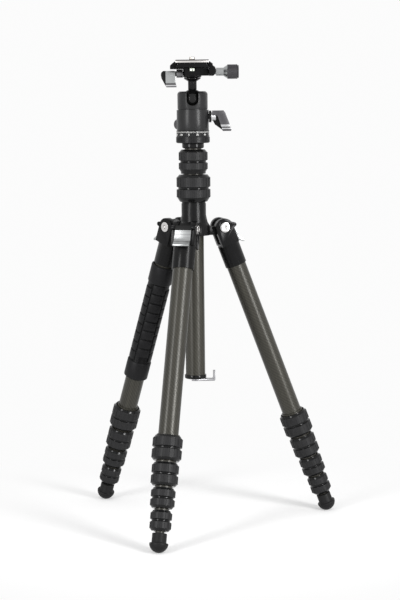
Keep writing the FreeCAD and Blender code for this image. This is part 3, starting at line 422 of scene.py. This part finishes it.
def pick_faces(piece, test):
    """Select the faces whose centre and normal pass the test, and go into edit mode."""
    alone(piece)
    bpy.ops.object.mode_set(mode="EDIT")
    bpy.ops.mesh.select_mode(type="FACE")
    bpy.ops.mesh.select_all(action="DESELECT")
    bpy.ops.object.mode_set(mode="OBJECT")
    for face in piece.data.polygons:
        face.select = test(face.center, face.normal)
    bpy.ops.object.mode_set(mode="EDIT")


def ribbed(piece, steps, low, high, rise, radius):
    """Raise every other facet between two heights into a rib."""
    def on_rib(centre, normal):
        if abs(normal.z) > 0.3 or not low < centre.z < high or centre.xy.dot(normal.xy) < 0:
            return False
        turn = Vector((1, 0)).angle_signed(centre.xy) / (2 * pi) * steps
        return int(turn // 1) % 2 == 0

    pick_faces(piece, on_rib)
    bpy.ops.mesh.extrude_region_move()
    grow = 1 + rise / radius
    bpy.ops.transform.resize(value=(grow, grow, 1), center_override=(0, 0, 0))
    bpy.ops.object.mode_set(mode="OBJECT")


def rubber_band(name, radius, inner, low, high):
    """One ribbed band, rounded at both ends."""
    steps = 2 * int(pi * radius / rib_pitch / 2)
    body = radius - rib_rise
    band = lathe(name, [(inner, low), (body - band_round, low), (body, low + band_round),
                        (body, high - band_round), (body - band_round, high), (inner, high)], steps)
    ribbed(band, steps, low + band_round, high - band_round, rib_rise, radius)
    band.data.materials.append(ribbed_rubber)
    return band


def joined(first, others):
    """The first piece with all the others joined onto it."""
    alone(first)
    for piece in others:
        piece.select_set(True)
    bpy.ops.object.join()
    return first


def banded(nut, radius, spans):
    """A turned nut with its edges broken and a rubber band moulded over each span."""
    nut.data.materials.append(nut_alloy)
    broken_edges(nut, 0.0002)
    inner = radius - band_stand - band_bite
    bands = [rubber_band(nut.name + "_band", radius, inner, low, high) for low, high in spans]
    for band in bands:
        broken_edges(band, fine_edge, segments=1, angle=50)
    return joined(nut, bands)


def collar(name, start, end, radius, mouth, lip, seat):
    """A nut with two bands, drawn below the hinge on the Z axis; heights are negative."""
    core = radius - band_stand
    middle = (start + end) / 2
    nut = lathe(name, [
        (mouth, start), (core - taper_sink, start), (core, start - collar_taper),
        (core, middle + groove_half), (core - groove_sink, middle + groove_floor),
        (core - groove_sink, middle - groove_floor), (core, middle - groove_half),
        (core, end + collar_taper), (core - taper_sink, end), (lip, end), (lip, seat), (mouth, seat)], 64)
    return banded(nut, radius, ((middle + groove_half, start - collar_taper + taper_lap),
                                (end + collar_taper - taper_lap, middle - groove_half)))


def placed(piece, stand):
    """Set a piece in its place, and keep that place in its mesh."""
    piece.matrix_world = stand
    alone(piece)
    bpy.ops.object.transform_apply(location=True, rotation=True, scale=True)


def on_leg(pattern, side, name):
    """A copy of a pattern piece, with its own mesh, set on a leg."""
    piece = bpy.data.objects.new(name, pattern.data.copy())
    bpy.context.collection.objects.link(piece)
    placed(piece, leg_stand[side])
    return piece


def scrap(pattern):
    """Take away a pattern once its copies are made."""
    bpy.data.objects.remove(pattern)


def leg_span(node, side="front"):
    """Top, bottom and widest radius of a part, measured along its leg."""
    back = leg_stand[side].inverted()
    places = [back @ corner.co for corner in frame["nodes"][node].data.vertices]
    heights = [place.z for place in places]
    return max(heights), min(heights), max(place.xy.length for place in places)


for count in range(1, leg_tubes):
    top, bottom, radius = leg_span(f"front_leg_collar_{count}")
    outer_tube = tube_radius - tube_step * (count - 1)
    pattern = collar(f"collar_pattern_{count}", top, bottom, radius, outer_tube + mouth_clear,
                     outer_tube - tube_step + lip_clear, top - collar_seat_depth)
    for side in sides:
        piece = on_leg(pattern, side, f"{side}_collar_{count}_dressed")
        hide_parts(f"{side}_leg_collar_{count}")
        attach(piece, f"{side}_collar_{count}")
    scrap(pattern)

# ---------------------------------------------------------------- feet
# Moulded rubber feet, pushed onto the last tubes: a plain stem and a round tread.
foot_black = (0.007, 0.007, 0.007)
foot_rubber = finish("foot_rubber", foot_black, 0.0, 0.5, grain=1800, mottle=0.8, bump=0.15,
                     Specular_IOR_Level=0.15)
for side in sides:
    machined(side + "_leg_foot", foot_rubber, edge=0.0008)

# ---------------------------------------------------------------- rubber grip on the left leg
# A moulded sleeve with a plain band at each end. Between them five columns of brick-like pads stand out,
# each column half a pad lower than the next.
grip_black = (0.005, 0.005, 0.0055)
pad_columns = 5
pad_rows = 8
pad_gap = 0.0016
pad_rise = 0.0009
grip_rubber = finish("grip_rubber", grip_black, 0.0, 0.45, grain=1500, mottle=0.8, bump=0.12,
                     Specular_IOR_Level=0.15)

grip_top, grip_bottom, grip_radius = leg_span("left_leg_grip", "left")
plain_band = 0.022
grip_round = 0.0012
step_round = 0.0006
band_gap = 0.001
pad_root = 0.0003
first_pad = 30
sleeve = grip_radius - pad_rise - step_round
low_band = grip_bottom + plain_band
high_band = grip_top - plain_band
grip = lathe("grip_sleeve", [
    (tube_radius, grip_bottom), (grip_radius - grip_round, grip_bottom),
    (grip_radius, grip_bottom + grip_round), (grip_radius, low_band - grip_round),
    (grip_radius - step_round, low_band), (sleeve, low_band), (sleeve, high_band),
    (grip_radius - step_round, high_band), (grip_radius, high_band + grip_round),
    (grip_radius, grip_top - grip_round), (grip_radius - grip_round, grip_top), (tube_radius, grip_top)], 64)
broken_edges(grip, 0.0003)
pads_top = high_band - band_gap
pad_pitch = (pads_top - low_band - band_gap) / (pad_rows + 0.5)
pad_sweep = 2 * pi / pad_columns - pad_gap / sleeve
pad = lathe("grip_pad", [
    (sleeve - pad_root, pad_gap - pad_pitch), (sleeve + pad_rise, pad_gap - pad_pitch),
    (sleeve + pad_rise, 0), (sleeve - pad_root, 0)], 12, sweep=pad_sweep)
broken_edges(pad, 0.0003)

pads = []
for column in range(pad_columns):
    turn = Matrix.Rotation(radians(360 / pad_columns * column + first_pad), 4, "Z")
    shift = pad_pitch / 2 if column % 2 else 0
    for row in range(pad_rows):
        block = bpy.data.objects.new(f"pad_{column}_{row}", pad.data.copy())
        bpy.context.collection.objects.link(block)
        block.matrix_world = Matrix.Translation((0, 0, pads_top - shift - row * pad_pitch)) @ turn
        pads.append(block)
scrap(pad)
joined(grip, pads)
grip.data.materials.append(grip_rubber)
placed(grip, leg_stand["left"])
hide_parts("left_leg_grip")
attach(grip, "left_leg")

# ---------------------------------------------------------------- column collars
# The large collar locks the column in the crown and the smaller one locks the upper column section.
# Both are banded like the leg collars, with longer black tapers.
low_taper = 0.0046
low_taper_sink = 0.0035
high_taper = 0.0028
high_taper_sink = 0.0024
lock_mouth = 0.0134
lock_seat = 0.0268
extension_seat = 0.0178


def column_collar(node, body, lip, mouth, seat_depth):
    """A ribbed collar on the column, with its mouth at the bottom."""
    low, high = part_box(node)
    radius = high.x
    middle = (low.z + high.z) / 2
    core = radius - band_stand
    seat = low.z + seat_depth
    nut = lathe(node + "_dressed", [
        (mouth, low.z), (radius - low_taper_sink, low.z), (core, low.z + low_taper),
        (core, middle - groove_half), (core - groove_sink, middle - groove_floor),
        (core - groove_sink, middle + groove_floor), (core, middle + groove_half),
        (core, high.z - high_taper), (core - high_taper_sink, high.z),
        (lip, high.z), (lip, seat), (mouth, seat)], 80)
    banded(nut, radius, ((middle + groove_half, high.z - high_taper),
                         (low.z + low_taper, middle - groove_half)))
    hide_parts(node)
    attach(nut, body)


column_collar("column_lock_collar", "lock_collar", tube_radius + lip_clear, lock_mouth, lock_seat)
column_collar("column_extension_collar", "extension_collar", tube_radius - tube_step + lip_clear,
              tube_radius + mouth_clear, extension_seat)

# ---------------------------------------------------------------- column ends
# The end cap is a turned black plug, and the bag hook a bent steel strip on a pin through it.
# The platform at the top is a turned black disc on a steel stud.
hook_steel = finish("hook_steel", (0.30, 0.30, 0.31), 1.0, 0.38, mottle=0.4)
machined("column_end_cap", nut_alloy, edge=0.0003)
machined("bag_hook", hook_steel, edge=0.0005)
machined("column_platform", nut_alloy, edge=0.0003)
nylon = finish("white_nylon", (0.60, 0.58, 0.52), 0.0, 0.5)
dressed("column_clamp_sleeve", nylon)
dressed("ball_seat", nylon)

# ---------------------------------------------------------------- head base with its degree scale
# A turned base: a ribbed grip band below, and above it a plain band printed with ticks and plain numbers.
# The marks are raised white ink. The base stays with the column when the head turns.
scale_white = (0.72, 0.72, 0.70)
tick_count = 72
number_count = 12
scale_start = -14
ink_rise = 0.00008

base_low, base_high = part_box("head_base")
base_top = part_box("head_housing")[0].z - 0.0002
base_radius = base_high.x
band_radius = base_radius - 0.00045
knurl_rise = 0.0004
knurl_low = base_low.z + 0.0007
knurl_high = base_low.z + 0.0067
spigot_radius = 0.009
stud_radius = 0.0047
thread_top = base_low.z + 0.009
centre_hole = 0.0002
base_steps = 96
base = lathe("head_base_finished", [
    (stud_radius, base_low.z), (base_radius - 0.0011, base_low.z), (base_radius - knurl_rise, knurl_low),
    (base_radius - knurl_rise, knurl_high), (band_radius - 0.0002, knurl_high + 0.0003),
    (band_radius, knurl_high + 0.0008), (band_radius, base_top - 0.0003),
    (band_radius - 0.0003, base_top), (spigot_radius, base_top), (spigot_radius, base_high.z),
    (centre_hole, base_high.z), (centre_hole, thread_top), (stud_radius, thread_top)], base_steps)
ribbed(base, base_steps, knurl_low + 0.0002, knurl_high - 0.0001, knurl_rise, base_radius)
broken_edges(base, fine_edge, segments=1, angle=50)
head_black = (0.010, 0.010, 0.0105)
base_alloy = finish("base_alloy", head_black, 0.0, 0.32, mottle=0.4, Specular_IOR_Level=0.18)
base.data.materials.append(base_alloy)
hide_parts("head_base")
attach(base, "upper_column")

scale_ink = finish("scale_ink", scale_white, 0.0, 0.5, mottle=0.2)
tick_width = 0.00036
tick_height = 0.0014
long_tick = 1.25
tick_middle = base_top - 0.0018
number_size = 0.0027
number_drop = 0.0028


def round_the_base(mark, angle):
    """Swing a mark drawn at the front of the base to its place on the scale."""
    mark.matrix_world = Matrix.Rotation(angle, 4, "Z") @ mark.matrix_world


marks = []
for count in range(tick_count):
    bpy.ops.object.select_all(action="DESELECT")
    bpy.ops.mesh.primitive_plane_add(size=1, location=(0, -band_radius - ink_rise, tick_middle),
                                     rotation=(pi / 2, 0, 0))
    tick = bpy.context.object
    tick.scale = (tick_width, tick_height * (long_tick if count % 6 == 0 else 1), 1)
    bpy.ops.object.transform_apply(location=True, rotation=True, scale=True)
    bpy.ops.object.mode_set(mode="EDIT")
    bpy.ops.mesh.select_all(action="SELECT")
    bpy.ops.mesh.extrude_region_move(TRANSFORM_OT_translate={"value": (0, 2 * ink_rise, 0)})
    bpy.ops.mesh.select_all(action="SELECT")
    bpy.ops.mesh.normals_make_consistent(inside=False)
    bpy.ops.object.mode_set(mode="OBJECT")
    round_the_base(tick, radians(scale_start + 360 / tick_count * count))
    marks.append(tick)
for count in range(number_count):
    bpy.ops.object.select_all(action="DESELECT")
    bpy.ops.object.text_add(location=(0, 0, 0))
    label = bpy.context.object
    label.data.body = str(count * 360 // number_count)
    label.data.size = number_size
    label.data.extrude = ink_rise
    label.data.align_x = "CENTER"
    label.data.align_y = "CENTER"
    bpy.ops.object.convert(target="MESH")
    label = bpy.context.object
    label.matrix_world = (Matrix.Translation((0, -band_radius - ink_rise / 2, tick_middle - number_drop))
                          @ Matrix.Rotation(pi / 2, 4, "X"))
    round_the_base(label, radians(scale_start + 360 / number_count * count))
    marks.append(label)
scale_marks = joined(marks[0], marks[1:])
scale_marks.name = "degree_scale"
bpy.ops.object.transform_apply(location=True, rotation=True, scale=True)
scale_marks.data.materials.clear()
scale_marks.data.materials.append(scale_ink)
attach(scale_marks, "upper_column")

# ---------------------------------------------------------------- head housing, ball and stem
# The housing is turned from bar and anodised a dark satin grey, with a seam under its upper part and a
# notch for the stem. The ball is hard-coated black, and the stem is pressed onto it.
housing_grey = (0.014, 0.014, 0.0145)
housing_alloy = finish("housing_alloy", housing_grey, 0.0, 0.3, mottle=0.5, Specular_IOR_Level=0.2)
ball_black = finish("ball_black", (0.003, 0.003, 0.003), 0.0, 0.14, mottle=0.2, bump=0.02,
                    Specular_IOR_Level=0.3)
machined("head_housing", housing_alloy, edge=0.0004)
machined("head_ball", ball_black, edge=0.0001)
machined("ball_stem", nut_alloy, edge=0.0004)

# ---------------------------------------------------------------- ball lock lever and pan lock knob
# The lever is a cast wing, dark grey, on a bright boss, with a black ring painted between the boss and the
# housing.
# Its web is painted black as painted shade; bright and black bands across its tip are painted highlight and
# painted shade standing for its ribs.
# The pan knob is a small plain screw head at the back.
lever_grey = finish("lever_grey", (0.085, 0.083, 0.088), 0.9, 0.38, mottle=0.4)
lever_bright = finish("lever_bright", (0.55, 0.55, 0.56), 1.0, 0.28, mottle=0.3)
lever_black = finish("lever_black", (0.004, 0.004, 0.004), 0.0, 0.3, mottle=0.4, Specular_IOR_Level=0.14)

up = Vector((0, 0, 1))
sideways = Vector((1, 0, 0))
lever = machined("ball_lock_lever", lever_grey, edge=0.0004)
lever_low, lever_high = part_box("ball_lock_lever")
housing_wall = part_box("head_housing")[1].x
tip_bands = (0.0022, 0.0036, 0.0048, 0.0072, 0.0082)
tip_start = housing_wall + 0.012
web_start = housing_wall + 0.008
web_top = lever_high.z - 0.0054
web_half = 0.0027
ring_end = housing_wall + 0.0031
boss_end = housing_wall + 0.0078
boss_half = 0.0053
boss_low = lever_low.z + 0.010
boss_high = lever_high.z - 0.0015
for rise in tip_bands:
    scribe(lever, up * (lever_low.z + rise), up)


def on_tip(at, band):
    """Whether a point is in one of the tip's bands, counted from the bottom, on the face of the wing."""
    low, high = tip_bands[band:band + 2]
    return (lever_low.z + low < at.z < lever_low.z + high and at.x > tip_start
            and abs(at.y) > web_half)


# Painted shade: the web between the boss and the wing's outer band is painted black where it lies in shade.
paint(lever, lever_black, lambda at, facing: abs(at.y) < web_half and at.z < web_top and at.x > web_start)
# Painted highlight and painted shade: bright bands with a black band between them stand for the ribs at the
# tip.
paint(lever, lever_bright, lambda at, facing: on_tip(at, 0) or on_tip(at, 2))
paint(lever, lever_black, lambda at, facing: on_tip(at, 1))
# A black ring is painted on the lever where it meets the housing.
paint(lever, lever_black, lambda at, facing: housing_wall < at.x < ring_end)
paint(lever, lever_bright, lambda at, facing: ring_end < at.x < boss_end
      and boss_low < at.z < boss_high and abs(at.y) < boss_half)
machined("pan_lock_knob", lever_grey, edge=0.0005)

# ---------------------------------------------------------------- clamp
# The clamp body and jaw are milled and anodised black. The level in the front shows two pale panes with a
# dark line between them. The turntable lever is a bright paddle with black sides on a round grey hub.
clamp_black = finish("clamp_black", (0.003, 0.003, 0.0032), 0.0, 0.24, mottle=0.4,
                     Specular_IOR_Level=0.12)
level_glass = finish("level_glass", (0.75, 0.82, 0.70), 0.0, 0.12, mottle=0.1, bump=0.0)
clamp = machined("clamp_body", clamp_black, edge=0.0005)
clamp_front = -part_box("clamp_jaw")[1].y
window_half = 0.0024
bubble_half = 0.0004
window_sink = 0.00004
for reach in (-window_half, -bubble_half, bubble_half, window_half):
    scribe(clamp, sideways * reach, sideways)
paint(clamp, level_glass, lambda at, facing: at.y < clamp_front - window_sink
      and bubble_half < abs(at.x) < window_half)
machined("clamp_jaw", clamp_black, edge=0.0003)
paddle = machined("clamp_pan_lever", satin_silver, edge=0.0005)
paddle_low, paddle_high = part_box("clamp_pan_lever")
face_start = paddle_low.x + 0.0053
face_end = paddle_low.x + 0.0160
hub_start = paddle_low.x + 0.0178
shoulder_low = paddle_high.z - 0.0058
edge_facing = -0.35
paddle_bands = (0.0012, 0.0026, 0.0046)
for rise in paddle_bands:
    scribe(paddle, up * (paddle_low.z + rise), up)
for reach in (face_start, face_end):
    scribe(paddle, sideways * reach, sideways)
hub_grey = finish("hub_grey", (0.17, 0.17, 0.175), 0.9, 0.42, mottle=0.5)


def on_face(at, low, high):
    """Whether a point is on the front of the paddle, between two heights above its lower edge."""
    return face_start < at.x < hub_start and at.y < 0 and low < at.z - paddle_low.z < high


paint(paddle, lever_black, lambda at, facing: at.x < face_start or facing.x < edge_facing)
paint(paddle, lever_grey, lambda at, facing: on_face(at, -1, paddle_bands[2]))
# Painted highlight: the bright band near the lower edge stands for the lit face of a step the flat face
# lacks.
paint(paddle, lever_bright, lambda at, facing: on_face(at, paddle_bands[0], paddle_bands[1]))
paint(paddle, lever_black, lambda at, facing: face_end < at.x < hub_start and at.z > shoulder_low)
paint(paddle, hub_grey, lambda at, facing: at.x > hub_start)

# ---------------------------------------------------------------- clamping knob
# Screw and knob turned in one: a bright shaft and cone, and a ribbed dark grey grip.
knob_low, knob_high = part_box("clamp_knob")
knob_axis = (knob_low.z + knob_high.z) / 2
knob_radius = (knob_high.z - knob_low.z) / 2
grip_length = 0.0126
cone_length = 0.0042
shaft_radius = 0.0045
screw_radius = 0.003
knob_end = knob_high.x
grip_start = knob_end - grip_length
cone_start = grip_start - cone_length
shaft_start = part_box("clamp_jaw")[1].x + 0.0003
knob_steps = 72
knob_core = knob_radius - knurl_rise
knob = lathe("clamp_knob_finished", [
    (centre_hole, knob_low.x), (screw_radius, knob_low.x), (screw_radius, shaft_start),
    (shaft_radius, shaft_start), (shaft_radius, cone_start), (shaft_radius + 0.0004, cone_start + 0.0001),
    (knob_core - 0.0004, grip_start - 0.0005), (knob_core, grip_start), (knob_core, knob_end - 0.0016),
    (knob_core - 0.0006, knob_end - 0.0014), (knob_core - 0.0006, knob_end - 0.0010),
    (knob_core, knob_end - 0.0008), (knob_core - 0.0008, knob_end), (centre_hole, knob_end)], knob_steps)
ribbed(knob, knob_steps, grip_start + 0.0002, knob_end - 0.0015, knurl_rise, knob_radius)
broken_edges(knob, fine_edge, segments=1, angle=50)
knob_grey = finish("knob_grey", (0.075, 0.073, 0.077), 0.9, 0.42, mottle=0.5)
knob.data.materials.append(knob_grey)
paint(knob, satin_silver, lambda at, facing: at.z < grip_start)
placed(knob, Matrix.Translation((0, 0, knob_axis)) @ Matrix.Rotation(pi / 2, 4, "Y"))
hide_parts("clamp_knob")
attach(knob, "knob")

# ---------------------------------------------------------------- camera plate and screw
# The dovetail plate is milled and black, with a painted highlight as a bright band along the sides of its
# flange, and its face is covered in dark rubber. The camera screw is turned steel with a slot at each end,
# and has no thread cut.
flange_highlight = finish("flange_highlight", (0.62, 0.60, 0.58), 1.0, 0.3, mottle=0.3)
plate_rubber = finish("plate_rubber", (0.020, 0.020, 0.020), 0.0, 0.7, mottle=0.8, bump=0.15)
plate = machined("camera_plate", clamp_black, edge=0.0002)
plate_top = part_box("camera_plate")[1].z
rubber_low = plate_top - 0.0012
flange_low = plate_top - 0.0031
for height in (rubber_low, flange_low):
    scribe(plate, up * height, up)
# Painted highlight: the bright band along the flange's sides stands for light on the flange's front face.
paint(plate, flange_highlight, lambda at, facing: flange_low < at.z < rubber_low)
paint(plate, plate_rubber, lambda at, facing: at.z > rubber_low)
screw_steel = finish("screw_steel", (0.55, 0.52, 0.48), 1.0, 0.3, mottle=0.3)
machined("camera_screw", screw_steel, edge=0.0001)

# ---------------------------------------------------------------- floor, light and camera
# A pale floor that fades to plain white away from the feet, two tall soft lamps in front and a plain
# white surround, a little dimmer as a light than it looks.
floor_white = (0.95, 0.95, 0.95)
white_seen = 0.97
room_light = 0.7
fade_start = 0.03
fade_end = 0.4
bpy.ops.object.select_all(action="DESELECT")
bpy.ops.mesh.primitive_plane_add(size=30, location=(0, 0, 0))
floor = bpy.context.object
floor.name = "floor"
paper = bpy.data.materials.new("floor_paper")
paper.use_nodes = True
nodes, links = paper.node_tree.nodes, paper.node_tree.links
paper_shader = nodes["Principled BSDF"]
paper_shader.inputs["Base Color"].default_value = (*floor_white, 1)
paper_shader.inputs["Roughness"].default_value = 0.9
paper_shader.inputs["Specular IOR Level"].default_value = 0.1
glow = nodes.new("ShaderNodeEmission")
glow.inputs["Color"].default_value = (1, 1, 1, 1)
glow.inputs["Strength"].default_value = white_seen
seen = nodes.new("ShaderNodeLightPath")
spot = nodes.new("ShaderNodeTexCoord")
reach = nodes.new("ShaderNodeVectorMath")
reach.operation = "LENGTH"
fade = nodes.new("ShaderNodeMapRange")
fade.inputs["From Min"].default_value = fade_start
fade.inputs["From Max"].default_value = fade_end
fade.interpolation_type = "SMOOTHSTEP"
any_ray = nodes.new("ShaderNodeMath")
any_ray.operation = "MAXIMUM"
both = nodes.new("ShaderNodeMath")
both.operation = "MULTIPLY"
blend = nodes.new("ShaderNodeMixShader")
links.new(spot.outputs["Object"], reach.inputs[0])
links.new(reach.outputs["Value"], fade.inputs["Value"])
links.new(seen.outputs["Is Camera Ray"], any_ray.inputs[0])
links.new(seen.outputs["Is Glossy Ray"], any_ray.inputs[1])
links.new(fade.outputs["Result"], both.inputs[0])
links.new(any_ray.outputs[0], both.inputs[1])
links.new(both.outputs[0], blend.inputs["Fac"])
links.new(paper_shader.outputs["BSDF"], blend.inputs[1])
links.new(glow.outputs["Emission"], blend.inputs[2])
links.new(blend.outputs["Shader"], nodes["Material Output"].inputs["Surface"])
floor.data.materials.append(paper)

world = bpy.data.worlds.new("white_room")
bpy.context.scene.world = world
world.use_nodes = True
nodes, links = world.node_tree.nodes, world.node_tree.links
room = nodes["Background"]
room.inputs["Color"].default_value = (1, 1, 1, 1)
seen = nodes.new("ShaderNodeLightPath")
direct = nodes.new("ShaderNodeMath")
direct.operation = "MAXIMUM"
strength = nodes.new("ShaderNodeMapRange")
strength.inputs["To Min"].default_value = room_light
strength.inputs["To Max"].default_value = white_seen
links.new(seen.outputs["Is Camera Ray"], direct.inputs[0])
links.new(seen.outputs["Is Glossy Ray"], direct.inputs[1])
links.new(direct.outputs[0], strength.inputs["Value"])
links.new(strength.outputs["Result"], room.inputs["Strength"])

lamp_distance = 2.0
lamp_height = 0.75
lamp_width = 0.42
lamp_length = 1.5
lamp_aim = Vector((0, 0, 0.28))
for name, swing, power in (("left_strip", -41, 27), ("right_strip", 42, 44)):
    swing = radians(swing)
    lamp_place = Vector((lamp_distance * sin(swing), -lamp_distance * cos(swing), lamp_height))
    bpy.ops.object.light_add(type="AREA", location=lamp_place)
    lamp = bpy.context.object
    lamp.name = name
    lamp.data.shape = "RECTANGLE"
    lamp.data.size = lamp_width
    lamp.data.size_y = lamp_length
    lamp.data.energy = power
    lamp.rotation_euler = (lamp_aim - lamp_place).to_track_quat("-Z", "Y").to_euler()

camera_place = (0, -2.016, 0.4849)
camera_turn = (83.4286, 0.6229, -0.2398)
camera_lens = 107.7
bpy.ops.object.camera_add(location=camera_place)
camera = bpy.context.object
camera.rotation_euler = Euler([radians(turn) for turn in camera_turn])
camera.data.lens = camera_lens
camera.data.sensor_width = 36
bpy.context.scene.camera = camera
bpy.context.scene.view_settings.view_transform = "Standard"
